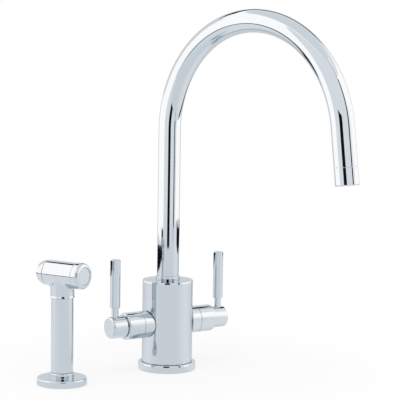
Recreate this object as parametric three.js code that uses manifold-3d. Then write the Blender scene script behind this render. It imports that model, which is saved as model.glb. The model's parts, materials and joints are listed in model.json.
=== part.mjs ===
/**
 * Two-handle kitchen mixer tap with a swivelling swan-neck spout and a separate pull-out side spray.
 *
 * Millimetres, +Z up. The origin is where the mixer's vertical axis meets the top of the deck, -Y faces
 * the user, and the arms lie along X with hot on the left. Everything below z = 0 is under the deck.
 */
import * as THREE from "three";
import { mergeVertices } from "three/addons/utils/BufferGeometryUtils.js";
import Module from "manifold-3d";

const wasm = await Module();
wasm.setup();

// ---------------------------------------------------------------- fits and facets
const runGap = 0.3; // radial play of a piece that turns or slides in another
const fitGap = 0.2; // radial gap of a piece fixed in another
const seatGap = 0.3; // between faces that rest on each other on a turned axis
const restGap = 0.1; // between faces that rest on each other on an upright axis
const cutOver = 1; // how far a cutting tool runs past the face it opens
const wideSides = 32; // facets of the pillar and the flanges
const tubeSides = 20; // of the spout, the arms, the handle and the spray's head
const roundSides = 16; // of what is inside
const smallSides = 12;
const drillSides = 8;

// ---------------------------------------------------------------- deck and its fixings
const deckThickness = 30;
const rubberWasherThickness = 3;
const steelWasherThickness = 2;

// ---------------------------------------------------------------- mixer: base and body
const flangeRadius = 28.5;
const flangeHeight = 7.8;
const flangeEdge = 2.6; // radius of the flange's top edge
const baseSealInner = 19.5;
const baseSealOuter = 26;
const baseSealThickness = 2.4;
const pillarRadius = 25;
const pillarHeight = 81.6;
const pillarEdge = 0.8; // chamfer of the body's top edge
const shankRadius = 16.5;
const shankBore = 13.5;
const shankBelowDeck = 56;
const shankInBody = 6;
const backnutAcrossFlats = 46;
const backnutHeight = 9;
const baseWasherRadius = 27;

// Ports in the body's underside: hot and cold behind, the spray's hose in front.
const portCircle = 8.3; // radius of the circle that the ports stand on
const portAngles = { hot: 154, cold: 26, spray: -90 }; // degrees from +X
const portRadius = 4.6;
const portDepth = 12;
const passageRadius = 3;
const passageRise = 1; // of the passages from the valves above the mixing chamber's floor
const spoutSocketRadius = 9.8;
const chamberWall = 7; // between the arms' inner passages and the mixing chamber's floor
const chamberDepth = 7.5; // from that floor up to the spout's spigot
const hoseNippleHex = 9.6;
const hoseNippleHexHeight = 5;
const hoseNippleTail = 20; // the spray hose's tail below the hexagon
const hoseNippleTailRadius = 3.6;
const hoseNippleBore = 2.2;

// ---------------------------------------------------------------- mixer: arms, valves and levers
const armHeight = 46.8;
const armRadius = 13.2;
const bossReach = 33.1; // from the mixer's axis to the end of the body's side boss
const sleeveLength = 17.7;
const sleeveWall = 1.4;
const sleeveEndWall = 2.4;
const sleeveChamfer = 1.2;
const hubRadius = 10.6;
const hubLength = 16.2;
const hubChamfer = 1.4;
const leverInset = 6.7; // from the hub's end to the lever's axis
const leverStemRadius = 3.4;
const leverStemLength = 8.7;
const leverStemSink = 1.4; // how deep the stem's foot sits in the hub
const leverThreadRadius = 2.5;
const leverThreadLength = 7;
const gripRadius = 5;
const gripLength = 47.2;
const gripChamfer = 0.6;
const grubRadius = 1.5;
const grubRecess = 1; // from the hub's surface down to the grub screw
const valveSocketRadius = 9.5;
const valveSocketFloor = 13; // from the mixer's axis
const valveSealThickness = 1.6;
const valveHousingWall = 1.6;
const discThickness = 3.2;
const discPortRadius = 1.9;
const discPortOffset = 4.3;
const driverThickness = 2.2;
const housingFlangeRadius = 11.4;
const housingFlangeThickness = 3;
const housingNeckRadius = 8.2;
const housingNeckClearOfHub = 0.9;
const spindleRadius = 4.1;
const spindleInHub = 5.7;
const spindleGroovePlace = 5; // from the housing's flange to the spindle's O-ring

// ---------------------------------------------------------------- spout
const spoutTurn = 13.15; // degrees that the spout stands turned from the front
const spoutRadius = 10.95;
const spoutWall = 1.9;
const collarRadius = 11.7;
const collarHeight = 4;
const riserLength = 144.6; // from the collar to where the arch springs
const archRadius = 106.5; // of the tube's centreline
const archBend = 172.8; // degrees
const archSteps = 25; // facets of the arch, one of which starts at its top
const legLength = 36;
const spigotNeckLength = 11;
const spigotBore = 5.5;
const slipRingThickness = 1.2;
const slipRingProud = 0.3;
const oringSection = 2;
const oringGrooveDepth = 1.6;
const oringProud = 0.1;
const spigotOringPlace = 3; // from the spigot's foot, and from its slip ring, to the middle of an O-ring
const retainingGrooveWidth = 5;
const retainingScrewRadius = 2.2;
const retainingScrewLength = 12;
const outletLength = 17;
const outletRadius = 11.1;
const outletWall = 1.6;
const outletSpigotLength = 6;
const outletRim = 1.4; // inward lip at the mouth
const aeratorLength = 9;
const aeratorHoleRadius = 1.8;
const aeratorHoleCircle = 5.4; // radius of the ring of holes
const aeratorWasherThickness = 1.5;

// ---------------------------------------------------------------- diverter, inside the body and spigot
const diverterSeatRadius = 6;
const diverterSeatDepth = 4.5;
const diverterWall = 1.3;
const diverterFlangeThickness = 1.6;
const diverterMouth = 2.2; // radius of the opening in the barrel's top
const pistonLength = 4.6;
const pistonTravel = 4;
const diverterSpringSolid = 12.2; // length of the spring when the piston is right up
const diverterSpringWire = 0.8;

// ---------------------------------------------------------------- side spray: holder
const sprayAside = 124.1; // from the mixer's axis to the spray's, to the left
const sprayForward = 8.2; // and towards the user
const sprayFlangeRadius = 23.7;
const sprayFlangeHeight = 6.9;
const sprayFlangeEdge = 1.6;
const holderCollarRadius = 11.6;
const holderCollarHeight = 4.6;
const holderCollarEdge = 1;
const bushWall = 1;
const bushBelowDeck = 14;
const sprayShankRadius = 13;
const sprayShankBelowDeck = 50;
const sprayShankInFlange = 3.6;
const spraySealInner = 15.8;
const spraySealOuter = 21.4;
const spraySealThickness = 2.2;
const sprayWasherRadius = 22;
const sprayNutAcrossFlats = 36;
const sprayNutHeight = 7;

// ---------------------------------------------------------------- side spray: handle and hose swivel
const handleRadius = 10.6;
const handleWall = 2.4;
const handleTop = 83; // above the deck, as it rests in its holder
const stubRadius = 8.6; // the handle's foot, which stands in the holder
const stubLength = 19;
const stubWall = 1.7;
const nippleHeadLength = 14;
const nippleShoulder = 2.6;
const nippleOringPlace = 4.7; // from the handle's foot to the middle of the O-ring
const nippleThreadRadius = 7.4;
const nippleThreadLength = 15;
const nippleBore = 3.4;
const clipThickness = 1;
const clipPlace = 2; // from the nipple's top down to the middle of the clip
const clipDepth = 0.7; // how far the clip stands into each of its two grooves

// ---------------------------------------------------------------- side spray: head
const headTurn = 22.3; // degrees that the button stands turned from the front
const headHeight = 105.2; // of the barrel's axis above the deck
const neckRadius = 11.4;
const barrelRadius = 12;
const barrelFront = 17.9; // from the handle's axis to the barrel's button end
const barrelBack = 15.9; // and to its nozzle end
const barrelBore = 8.9;
const barrelBoreDepth = 6.3; // of the bore at the button end
const valveChamberRadius = 5.5;
const valveInletRadius = 4.5; // of the opening between the handle and the valve's chamber
const capRadius = 12.5;
const capLength = 8;
const capEdge = 2.2;
const capRimWidth = 1.6;
const buttonRadius = 8.2;
const buttonThickness = 3.2;
const buttonRecess = 0.3;
const buttonTravel = 2.5;
const valveStemRadius = 2;
const poppetRadius = 5;
const poppetThickness = 2.2;
const valveSeatHole = 3.2;
const valveSeatThickness = 2.5;
const valveSeatPlace = 3.5; // from the handle's axis to the seat's nozzle side
const valveSpringWire = 0.9;
const noseLength = 8.2;
const noseShoulder = 2.7; // from the nose's foot to where it starts to narrow
const noseKnee = 6.1; // and to where it narrows more steeply
const noseEndRadius = 9.3;
const noseWebThickness = 2;
const noseWebHole = 1.9; // radius of the hole in the web's middle
const noseWebPlace = 12; // from the handle's axis to the web that the spring stands on
const nozzlePlateRadius = 7.6;
const nozzlePlateThickness = 1.8;
const nozzlePlateRecess = 0.4;
const nozzleHoleRadius = 0.7;
const nozzleHoleCircle = 4.8; // radius of the ring of holes

// ---------------------------------------------------------------- levels and places worked out from them
const bodyTop = flangeHeight + pillarHeight;
const chamberFloor = armHeight + passageRadius + chamberWall;
const spigotFoot = chamberFloor + chamberDepth;
const spigotRadius = spoutSocketRadius - runGap;
const retainingHeight = (spigotFoot + bodyTop) / 2;
const collarFoot = bodyTop + slipRingProud + restGap;
const collarTop = collarFoot + collarHeight;
const spoutBore = spoutRadius - spoutWall;
const slipRingSeatRadius = collarRadius - fitGap;
const slipRingFoot = bodyTop + slipRingProud - slipRingThickness;
const sleeveStart = bossReach + seatGap;
const sleeveEnd = sleeveStart + sleeveLength;
const hubStart = sleeveEnd + seatGap;
const hubEnd = hubStart + hubLength;
const leverPlace = hubEnd - leverInset;
const housingRadius = valveSocketRadius - fitGap;
const discChamberRadius = housingRadius - valveHousingWall;
const housingFoot = valveSocketFloor + valveSealThickness + 2 * seatGap;
const movingDiscFoot = housingFoot + discThickness + seatGap;
const driverFoot = movingDiscFoot + discThickness + seatGap;
const holderTop = sprayFlangeHeight + holderCollarHeight;
const bushOuter = stubRadius + runGap + bushWall;
const handleFoot = holderTop - stubLength;
const headFoot = handleTop + restGap;

// ---------------------------------------------------------------- geometry helpers

/** A closed solid turned about +Z from [radius, height] points that run up its outside. */
function turned(profile, sides = roundSides) {
  const points = profile.map(([radius, height]) => new THREE.Vector2(radius, height));
  return new THREE.LatheGeometry(points, sides).rotateX(Math.PI / 2);
}

/** Profile of a plain rod that stands on the axis. */
const rod = (radius, foot, top) => [
  [0, foot],
  [radius, foot],
  [radius, top],
  [0, top],
];

/** Closed profile of a hollow turned piece: its outside and its bore, both listed from the bottom up. */
const hollow = (outside, bore) => [...outside, ...bore.toReversed(), outside[0]];

/** Closed profile of a plain ring. */
const ring = (inner, outer, foot, top) =>
  hollow(
    [
      [outer, foot],
      [outer, top],
    ],
    [
      [inner, foot],
      [inner, top],
    ],
  );

/** Points of a rounded outer edge, from the side of a turned piece up and over to its top face. */
function roundedEdge(radius, top, edge) {
  return [0, 1, 2].map((i) => {
    const angle = (i * Math.PI) / 4;
    return [radius - edge + edge * Math.cos(angle), top - edge + edge * Math.sin(angle)];
  });
}

/** Six-sided section of an O-ring that sits in a groove round a shaft. */
function oring(grooveRadius, outerRadius, middle, sides = smallSides) {
  const inner = (grooveRadius + fitGap) / Math.cos(Math.PI / sides);
  const flat = (outerRadius - inner) / 4;
  const half = (oringSection - fitGap) / 2;
  return turned(
    [
      [inner + flat, middle - half],
      [outerRadius - flat, middle - half],
      [outerRadius, middle],
      [outerRadius - flat, middle + half],
      [inner + flat, middle + half],
      [inner, middle],
      [inner + flat, middle - half],
    ],
    sides,
  );
}

/** Profile points of a groove cut into a shaft, between its lower and upper edge. */
const groove = (shaftRadius, depth, middle, width) => [
  [shaftRadius, middle - width / 2],
  [shaftRadius - depth, middle - width / 2],
  [shaftRadius - depth, middle + width / 2],
  [shaftRadius, middle + width / 2],
];

/** A round bar between two points, for drilling. */
function bar(from, to, radius, sides = drillSides) {
  const along = new THREE.Vector3().subVectors(to, from);
  const turn = new THREE.Quaternion().setFromUnitVectors(
    new THREE.Vector3(0, 1, 0),
    along.clone().normalize(),
  );
  const middle = new THREE.Vector3().addVectors(from, to).multiplyScalar(0.5);
  return new THREE.CylinderGeometry(radius, radius, along.length(), sides)
    .applyQuaternion(turn)
    .translate(middle.x, middle.y, middle.z);
}

const at = (x, y, z) => new THREE.Vector3(x, y, z);

/** An upright hexagonal prism with a round hole. */
function hexNut(acrossFlats, hole, foot, height) {
  const shape = new THREE.Shape();
  const corner = acrossFlats / 2 / Math.cos(Math.PI / 6);
  for (let i = 0; i < 6; i++) {
    const angle = (i * Math.PI) / 3;
    const point = [corner * Math.cos(angle), corner * Math.sin(angle)];
    if (i === 0) shape.moveTo(...point);
    else shape.lineTo(...point);
  }
  shape.closePath();
  shape.holes.push(new THREE.Path().absarc(0, 0, hole, 0, 2 * Math.PI, true));
  return new THREE.ExtrudeGeometry(shape, {
    depth: height,
    bevelEnabled: false,
    curveSegments: roundSides / 2,
  }).translate(0, 0, foot);
}

/** A three.js geometry as a solid that can be cut and joined. */
function solidOf(geometry) {
  const bare = geometry.clone();
  bare.deleteAttribute("normal");
  bare.deleteAttribute("uv");
  const merged = mergeVertices(bare, 1e-4);
  const corners = [];
  for (let i = 0; i < merged.index.count; i += 3) {
    const [a, b, c] = [0, 1, 2].map((k) => merged.index.getX(i + k));
    if (a !== b && b !== c && c !== a) corners.push(a, b, c);
  }
  return new wasm.Manifold(
    new wasm.Mesh({
      numProp: 3,
      vertProperties: merged.attributes.position.array,
      triVerts: new Uint32Array(corners),
    }),
  );
}

/** A solid as a three.js geometry again. */
function geometryOf(solid) {
  const mesh = solid.getMesh();
  const geometry = new THREE.BufferGeometry();
  geometry.setAttribute("position", new THREE.BufferAttribute(mesh.vertProperties, 3));
  geometry.setIndex(new THREE.BufferAttribute(mesh.triVerts, 1));
  geometry.computeVertexNormals();
  return geometry;
}

const cut = (whole, ...tools) =>
  geometryOf(tools.reduce((solid, tool) => solid.subtract(solidOf(tool)), solidOf(whole)));
const join = (whole, ...others) =>
  geometryOf(others.reduce((solid, other) => solid.add(solidOf(other)), solidOf(whole)));

// ---------------------------------------------------------------- finishes
const finishes = {
  chrome: { color: 0xdfe3e8, roughness: 0.06, metalness: 1 },
  brass: { color: 0xc9a45c, roughness: 0.35, metalness: 1 },
  steel: { color: 0xb4b7ba, roughness: 0.35, metalness: 1 },
  rubber: { color: 0x1c1d1f, roughness: 0.8, metalness: 0 },
  plastic: { color: 0xdadad4, roughness: 0.45, metalness: 0 },
  darkPlastic: { color: 0x3b3e42, roughness: 0.5, metalness: 0 },
  ceramic: { color: 0xf1efe8, roughness: 0.3, metalness: 0 },
};

/** One named piece with a material of its own. */
function piece(name, geometry, finish) {
  const mesh = new THREE.Mesh(geometry, new THREE.MeshStandardMaterial(finishes[finish]));
  mesh.name = name;
  return mesh;
}

/** A group that holds some pieces. */
const groupOf = (...pieces) => new THREE.Group().add(...pieces);

// ================================================================ mixer: base and deck fixing

function makeBase() {
  const flangeBore = shankRadius + fitGap;
  const flange = turned(
    hollow(
      [
        [baseSealInner, 0],
        [baseSealInner, baseSealThickness],
        [baseSealOuter, baseSealThickness],
        [baseSealOuter, 0],
        [flangeRadius, 0],
        ...roundedEdge(flangeRadius, flangeHeight, flangeEdge),
      ],
      [
        [flangeBore, 0],
        [flangeBore, flangeHeight],
      ],
    ),
    wideSides,
  );
  const seal = ring(
    baseSealInner + fitGap,
    baseSealOuter - fitGap,
    0,
    baseSealThickness - restGap,
  );
  const shankTop = flangeHeight + shankInBody;
  const clampTop = -deckThickness;
  const steelTop = clampTop - rubberWasherThickness;
  const nutTop = steelTop - steelWasherThickness;
  const hole = shankRadius + fitGap;
  return groupOf(
    piece("base_flange", flange, "chrome"),
    piece("base_seal", turned(seal, wideSides), "rubber"),
    piece("mixer_shank", turned(ring(shankBore, shankRadius, -shankBelowDeck, shankTop)), "brass"),
    piece("rubber_washer", turned(ring(hole, baseWasherRadius, steelTop, clampTop)), "rubber"),
    piece("steel_washer", turned(ring(hole, baseWasherRadius, nutTop, steelTop)), "steel"),
    piece(
      "mixer_backnut",
      hexNut(backnutAcrossFlats, hole, nutTop - backnutHeight, backnutHeight),
      "brass",
    ),
  );
}

// ================================================================ mixer: body

const portPlace = (name) => {
  const angle = THREE.MathUtils.degToRad(portAngles[name]);
  return new THREE.Vector2(Math.cos(angle), Math.sin(angle)).multiplyScalar(portCircle);
};

/** A drilling straight up from the recess in the body's underside: a threaded port, then a passage. */
function portTools(name, passageTop) {
  const { x, y } = portPlace(name);
  const mouth = flangeHeight + shankInBody;
  return [
    bar(at(x, y, mouth - cutOver), at(x, y, mouth + portDepth), portRadius, smallSides),
    bar(at(x, y, mouth + portDepth - cutOver), at(x, y, passageTop), passageRadius),
  ];
}

function makeBody() {
  const recess = shankRadius + fitGap;
  const recessTop = flangeHeight + shankInBody + restGap;
  const pillar = turned(
    [
      [0, recessTop],
      [recess, recessTop],
      [recess, flangeHeight],
      [pillarRadius, flangeHeight],
      [pillarRadius, bodyTop - pillarEdge],
      [pillarRadius - pillarEdge, bodyTop],
      [slipRingSeatRadius, bodyTop],
      [slipRingSeatRadius, slipRingFoot],
      [spoutSocketRadius, slipRingFoot],
      [spoutSocketRadius, chamberFloor],
      [diverterSeatRadius, chamberFloor],
      [diverterSeatRadius, chamberFloor - diverterSeatDepth],
      [0, chamberFloor - diverterSeatDepth],
    ],
    wideSides,
  );
  const along = (side, distance, height = armHeight) => at(side * distance, 0, height);
  const bossRoot = (spoutSocketRadius + pillarRadius) / 2;
  const bosses = [-1, 1].map((side) =>
    bar(along(side, bossRoot), along(side, bossReach), armRadius, tubeSides),
  );
  const armTools = [-1, 1].flatMap((side) => {
    const windowPlace = movingDiscFoot + discThickness / 2;
    return [
      bar(
        along(side, valveSocketFloor),
        along(side, bossReach + cutOver),
        valveSocketRadius,
        roundSides,
      ),
      bar(along(side, 2 * passageRadius), along(side, valveSocketFloor + cutOver), passageRadius),
      bar(
        along(side, spoutSocketRadius - passageRadius, chamberFloor + passageRadius + passageRise),
        along(side, windowPlace, armHeight + valveSocketRadius - cutOver),
        passageRadius,
      ),
    ];
  });
  const screwHole = bar(
    at(0, spigotRadius - oringGrooveDepth, retainingHeight),
    at(0, pillarRadius + cutOver, retainingHeight),
    retainingScrewRadius + fitGap,
  );
  const body = cut(
    join(pillar, ...bosses),
    ...portTools("hot", armHeight),
    ...portTools("cold", armHeight),
    ...portTools("spray", chamberFloor - diverterSeatDepth + passageRadius),
    ...armTools,
    screwHole,
  );
  const screwTip = spigotRadius - oringGrooveDepth + runGap;
  const screw = bar(
    at(0, screwTip, retainingHeight),
    at(0, screwTip + retainingScrewLength, retainingHeight),
    retainingScrewRadius,
  );
  return groupOf(
    piece("mixer_body", body, "chrome"),
    piece("spout_retaining_screw", screw, "steel"),
    makeHoseNipple(),
  );
}

/** The threaded tail, below the body's front port, that the spray's hose is screwed to. */
function makeHoseNipple() {
  const mouth = flangeHeight + shankInBody - restGap;
  const hexFoot = mouth - hoseNippleHexHeight;
  const hexRadius = hoseNippleHex / 2;
  const profile = hollow(
    [
      [hoseNippleTailRadius, hexFoot - hoseNippleTail],
      [hoseNippleTailRadius, hexFoot],
      [hexRadius, hexFoot],
      [hexRadius, mouth],
      [portRadius - fitGap, mouth],
      [portRadius - fitGap, mouth + portDepth - cutOver],
    ],
    [
      [hoseNippleBore, hexFoot - hoseNippleTail],
      [hoseNippleBore, mouth + portDepth - cutOver],
    ],
  );
  const nipple = piece("spray_hose_tail", turned(profile, smallSides), "brass");
  const { x, y } = portPlace("spray");
  nipple.position.set(x, y, 0);
  return nipple;
}

// ================================================================ mixer: valves and levers

/** Two opposite ports through a disc, along the direction given by an angle about its axis. */
function discPorts(foot, angle) {
  return [-1, 1].map((side) => {
    const x = side * discPortOffset * Math.cos(angle);
    const y = side * discPortOffset * Math.sin(angle);
    return bar(at(x, y, foot - cutOver), at(x, y, foot + discThickness + cutOver), discPortRadius);
  });
}

/** The pieces of one arm that stay put. Local +Z runs out along the arm. */
function makeArmFixed(water) {
  const discRadius = discChamberRadius - runGap;
  const sealTop = valveSocketFloor + seatGap + valveSealThickness;
  const seal = ring(discRadius / 2, housingRadius, valveSocketFloor + seatGap, sealTop);
  const shoulder = driverFoot + driverThickness + seatGap;
  const neckEnd = sleeveEnd - housingNeckClearOfHub;
  const windowPlace = movingDiscFoot + discThickness / 2;
  const housing = cut(
    turned(
      hollow(
        [
          [housingRadius, housingFoot],
          [housingRadius, sleeveStart],
          [housingFlangeRadius, sleeveStart],
          [housingFlangeRadius, sleeveStart + housingFlangeThickness],
          [housingNeckRadius, sleeveStart + housingFlangeThickness],
          [housingNeckRadius, neckEnd],
        ],
        [
          [discChamberRadius, housingFoot],
          [discChamberRadius, shoulder],
          [spindleRadius + runGap, shoulder],
          [spindleRadius + runGap, neckEnd],
        ],
      ),
    ),
    bar(at(-2 * armRadius, 0, windowPlace), at(2 * armRadius, 0, windowPlace), discThickness / 2),
  );
  const sleeveBore = armRadius - sleeveWall;
  const sleeve = hollow(
    [
      [armRadius, sleeveStart],
      [armRadius, sleeveEnd - sleeveChamfer],
      [armRadius - sleeveChamfer, sleeveEnd],
    ],
    [
      [sleeveBore, sleeveStart],
      [sleeveBore, sleeveEnd - sleeveEndWall],
      [housingNeckRadius + fitGap, sleeveEnd - sleeveEndWall],
      [housingNeckRadius + fitGap, sleeveEnd],
    ],
  );
  const fixedDisc = cut(
    turned(rod(discRadius, housingFoot, housingFoot + discThickness)),
    ...discPorts(housingFoot, 0),
  );
  return groupOf(
    piece(`${water}_valve_seal`, turned(seal), "rubber"),
    piece(`${water}_valve_housing`, housing, "brass"),
    piece(`${water}_fixed_disc`, fixedDisc, "ceramic"),
    piece(`${water}_valve_sleeve`, turned(sleeve, tubeSides), "chrome"),
  );
}

/** The pieces of one arm that turn with its lever. Local +Z runs out along the arm, up is local X. */
function makeArmTurning(water, up) {
  const discRadius = discChamberRadius - runGap;
  const movingDisc = cut(
    turned(rod(discRadius, movingDiscFoot, movingDiscFoot + discThickness)),
    ...discPorts(movingDiscFoot, Math.PI / 2),
  );
  const driverTop = driverFoot + driverThickness;
  const oringPlace = sleeveStart + housingFlangeThickness + spindleGroovePlace;
  const grooveDepth = oringGrooveDepth / 2;
  const spindle = turned([
    [0, driverFoot],
    [discRadius, driverFoot],
    [discRadius, driverTop],
    [spindleRadius, driverTop],
    ...groove(spindleRadius, grooveDepth, oringPlace, oringSection),
    [spindleRadius, hubStart + spindleInHub],
    [0, hubStart + spindleInHub],
  ]);
  const spindleOring = oring(spindleRadius - grooveDepth, spindleRadius + oringProud, oringPlace);
  const socketTop = hubStart + spindleInHub + seatGap;
  const socketRadius = spindleRadius + fitGap;
  const hubBlank = turned(
    [
      [0, socketTop],
      [socketRadius, socketTop],
      [socketRadius, hubStart],
      [hubRadius, hubStart],
      [hubRadius, hubEnd - hubChamfer],
      [hubRadius - hubChamfer, hubEnd],
      [0, hubEnd],
    ],
    tubeSides,
  );
  const stemFoot = hubRadius - leverStemSink;
  const threadFoot = stemFoot - leverThreadLength;
  const grubPlace = hubStart + spindleInHub / 2;
  const grubTip = spindleRadius + runGap;
  const across = (distance, place) => at(up * distance, 0, place);
  const hub = cut(
    hubBlank,
    bar(
      across(stemFoot, leverPlace),
      across(2 * hubRadius, leverPlace),
      leverStemRadius + fitGap,
      roundSides,
    ),
    bar(
      across(threadFoot - seatGap, leverPlace),
      across(hubRadius, leverPlace),
      leverThreadRadius + fitGap,
      roundSides,
    ),
    bar(across(0, grubPlace), across(-2 * hubRadius, grubPlace), grubRadius + fitGap),
  );
  const grub = bar(across(-grubTip, grubPlace), across(grubRecess - hubRadius, grubPlace), grubRadius);
  return groupOf(
    piece(`${water}_moving_disc`, movingDisc, "ceramic"),
    piece(`${water}_spindle`, spindle, "brass"),
    piece(`${water}_spindle_oring`, spindleOring, "rubber"),
    piece(`${water}_handle_hub`, hub, "chrome"),
    piece(`${water}_grub_screw`, grub, "steel"),
  );
}

/** The lever: a threaded foot, a thin stem and a thicker grip, turned from one bar. */
function makeLever(water) {
  const stemFoot = hubRadius - leverStemSink + seatGap;
  const gripFoot = hubRadius + leverStemLength;
  const gripTop = gripFoot + gripLength;
  const lever = turned([
    [0, stemFoot - leverThreadLength],
    [leverThreadRadius, stemFoot - leverThreadLength],
    [leverThreadRadius, stemFoot],
    [leverStemRadius, stemFoot],
    [leverStemRadius, gripFoot],
    [gripRadius - gripChamfer, gripFoot],
    [gripRadius, gripFoot + gripChamfer],
    [gripRadius, gripTop - gripChamfer],
    [gripRadius - gripChamfer, gripTop],
    [0, gripTop],
  ]);
  return piece(`${water}_lever`, lever, "chrome");
}

function makeArm(water, side) {
  const along = groupOf(makeArmFixed(water), makeArmTurning(water, -side));
  along.rotation.y = (side * Math.PI) / 2;
  const lever = makeLever(water);
  lever.position.x = side * leverPlace;
  const arm = groupOf(along, lever);
  arm.position.z = armHeight;
  return arm;
}

// ================================================================ spout

/** The tube's centreline: straight up, over the arch towards -Y, and down the leg. */
class SpoutRoute extends THREE.Curve {
  /** Where the line is, and which way it runs, after a number of steps: one for each straight. */
  stationAt(step) {
    const spring = collarTop + restGap + riserLength;
    const bend = THREE.MathUtils.degToRad(archBend);
    const turn = THREE.MathUtils.clamp((step - 1) / archSteps, 0, 1) * bend;
    const point = at(0, archRadius * (Math.cos(turn) - 1), spring + archRadius * Math.sin(turn));
    const tangent = at(0, -Math.sin(turn), Math.cos(turn));
    if (step < 1) point.addScaledVector(tangent, (step - 1) * riserLength);
    if (step > 1 + archSteps) point.addScaledVector(tangent, (step - 1 - archSteps) * legLength);
    return { point, tangent };
  }
  getPointAt(share) {
    return this.stationAt(share * this.steps).point;
  }
  getTangentAt(share) {
    return this.stationAt(share * this.steps).tangent;
  }
  get steps() {
    return archSteps + 2;
  }
}

function makeSpoutTube(route) {
  const section = new THREE.Shape().absarc(0, 0, spoutRadius, 0, 2 * Math.PI);
  section.holes.push(new THREE.Path().absarc(0, 0, spoutBore, 0, 2 * Math.PI, true));
  const tube = new THREE.ExtrudeGeometry(section, {
    steps: route.steps,
    extrudePath: route,
    curveSegments: tubeSides / 2,
  });
  return piece("spout_tube", tube, "chrome");
}

/** The turned foot of the spout, with its O-rings, and the ring that it turns on. */
function makeSpigot() {
  const grooveWidth = oringSection + fitGap;
  const lowRing = spigotFoot + spigotOringPlace;
  const highRing = slipRingFoot - spigotOringPlace;
  const neckRadius = spoutBore - fitGap;
  const neckTop = collarTop + spigotNeckLength;
  const spigot = turned(
    hollow(
      [
        [spigotRadius, spigotFoot],
        ...groove(spigotRadius, oringGrooveDepth, lowRing, grooveWidth),
        ...groove(spigotRadius, oringGrooveDepth, retainingHeight, retainingGrooveWidth),
        ...groove(spigotRadius, oringGrooveDepth, highRing, grooveWidth),
        [spigotRadius, collarFoot],
        [collarRadius, collarFoot],
        [collarRadius, collarTop],
        [neckRadius, collarTop],
        [neckRadius, neckTop],
      ],
      [
        [spigotBore, spigotFoot],
        [spigotBore, neckTop],
      ],
    ),
  );
  const slipRing = ring(
    spigotRadius + runGap,
    slipRingSeatRadius - fitGap,
    slipRingFoot,
    slipRingFoot + slipRingThickness,
  );
  const ringGroove = spigotRadius - oringGrooveDepth;
  const ringOuter = spigotRadius + oringProud;
  return groupOf(
    piece("spout_spigot", spigot, "chrome"),
    piece("spout_slip_ring", turned(slipRing), "darkPlastic"),
    piece("spout_oring_lower", oring(ringGroove, ringOuter, lowRing), "rubber"),
    piece("spout_oring_upper", oring(ringGroove, ringOuter, highRing), "rubber"),
  );
}

/** The outlet at the end of the leg, seen along the way the water leaves: local +Z. */
function makeOutlet() {
  const shellBore = outletRadius - outletWall;
  const plugRadius = spoutBore - fitGap;
  const washerSeat = outletLength - outletRim - aeratorLength - aeratorWasherThickness - 2 * seatGap;
  const collar = hollow(
    [
      [plugRadius, -outletSpigotLength],
      [plugRadius, seatGap],
      [outletRadius, seatGap],
      [outletRadius, outletLength - outletRim / 2],
      [outletRadius - outletRim / 2, outletLength],
    ],
    [
      [plugRadius - outletWall, -outletSpigotLength],
      [plugRadius - outletWall, washerSeat],
      [shellBore, washerSeat],
      [shellBore, outletLength],
    ],
  );
  const washerFoot = washerSeat + seatGap;
  const washerTop = washerFoot + aeratorWasherThickness;
  const insertRadius = shellBore - fitGap;
  const insertFoot = washerTop + seatGap;
  const insert = turned(rod(insertRadius, insertFoot, insertFoot + aeratorLength));
  const holes = holeRings([0, aeratorHoleCircle], ({ x, y }) =>
    bar(at(x, y, insertFoot - cutOver), at(x, y, washerTop + 2 * aeratorLength), aeratorHoleRadius),
  );
  return groupOf(
    piece("outlet_collar", turned(collar), "chrome"),
    piece("aerator_washer", turned(ring(insertRadius / 2, insertRadius, washerFoot, washerTop)), "rubber"),
    piece("aerator_insert", cut(insert, ...holes), "plastic"),
  );
}

/** Calls make for the centre of each hole in rings of 1, 6, 12 and so on. */
function holeRings(radii, make) {
  return radii.flatMap((radius, index) => {
    const count = Math.max(1, 6 * index);
    return Array.from({ length: count }, (_, i) => {
      const angle = (i / count) * 2 * Math.PI;
      return make(new THREE.Vector2(radius * Math.cos(angle), radius * Math.sin(angle)));
    });
  });
}

function makeSpout() {
  const route = new SpoutRoute();
  const end = route.stationAt(route.steps);
  const outlet = makeOutlet();
  outlet.position.copy(end.point);
  outlet.quaternion.setFromUnitVectors(at(0, 0, 1), end.tangent);
  const spout = groupOf(makeSpigot(), makeSpoutTube(route), outlet);
  spout.rotation.z = THREE.MathUtils.degToRad(spoutTurn);
  return spout;
}

// ================================================================ diverter

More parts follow.
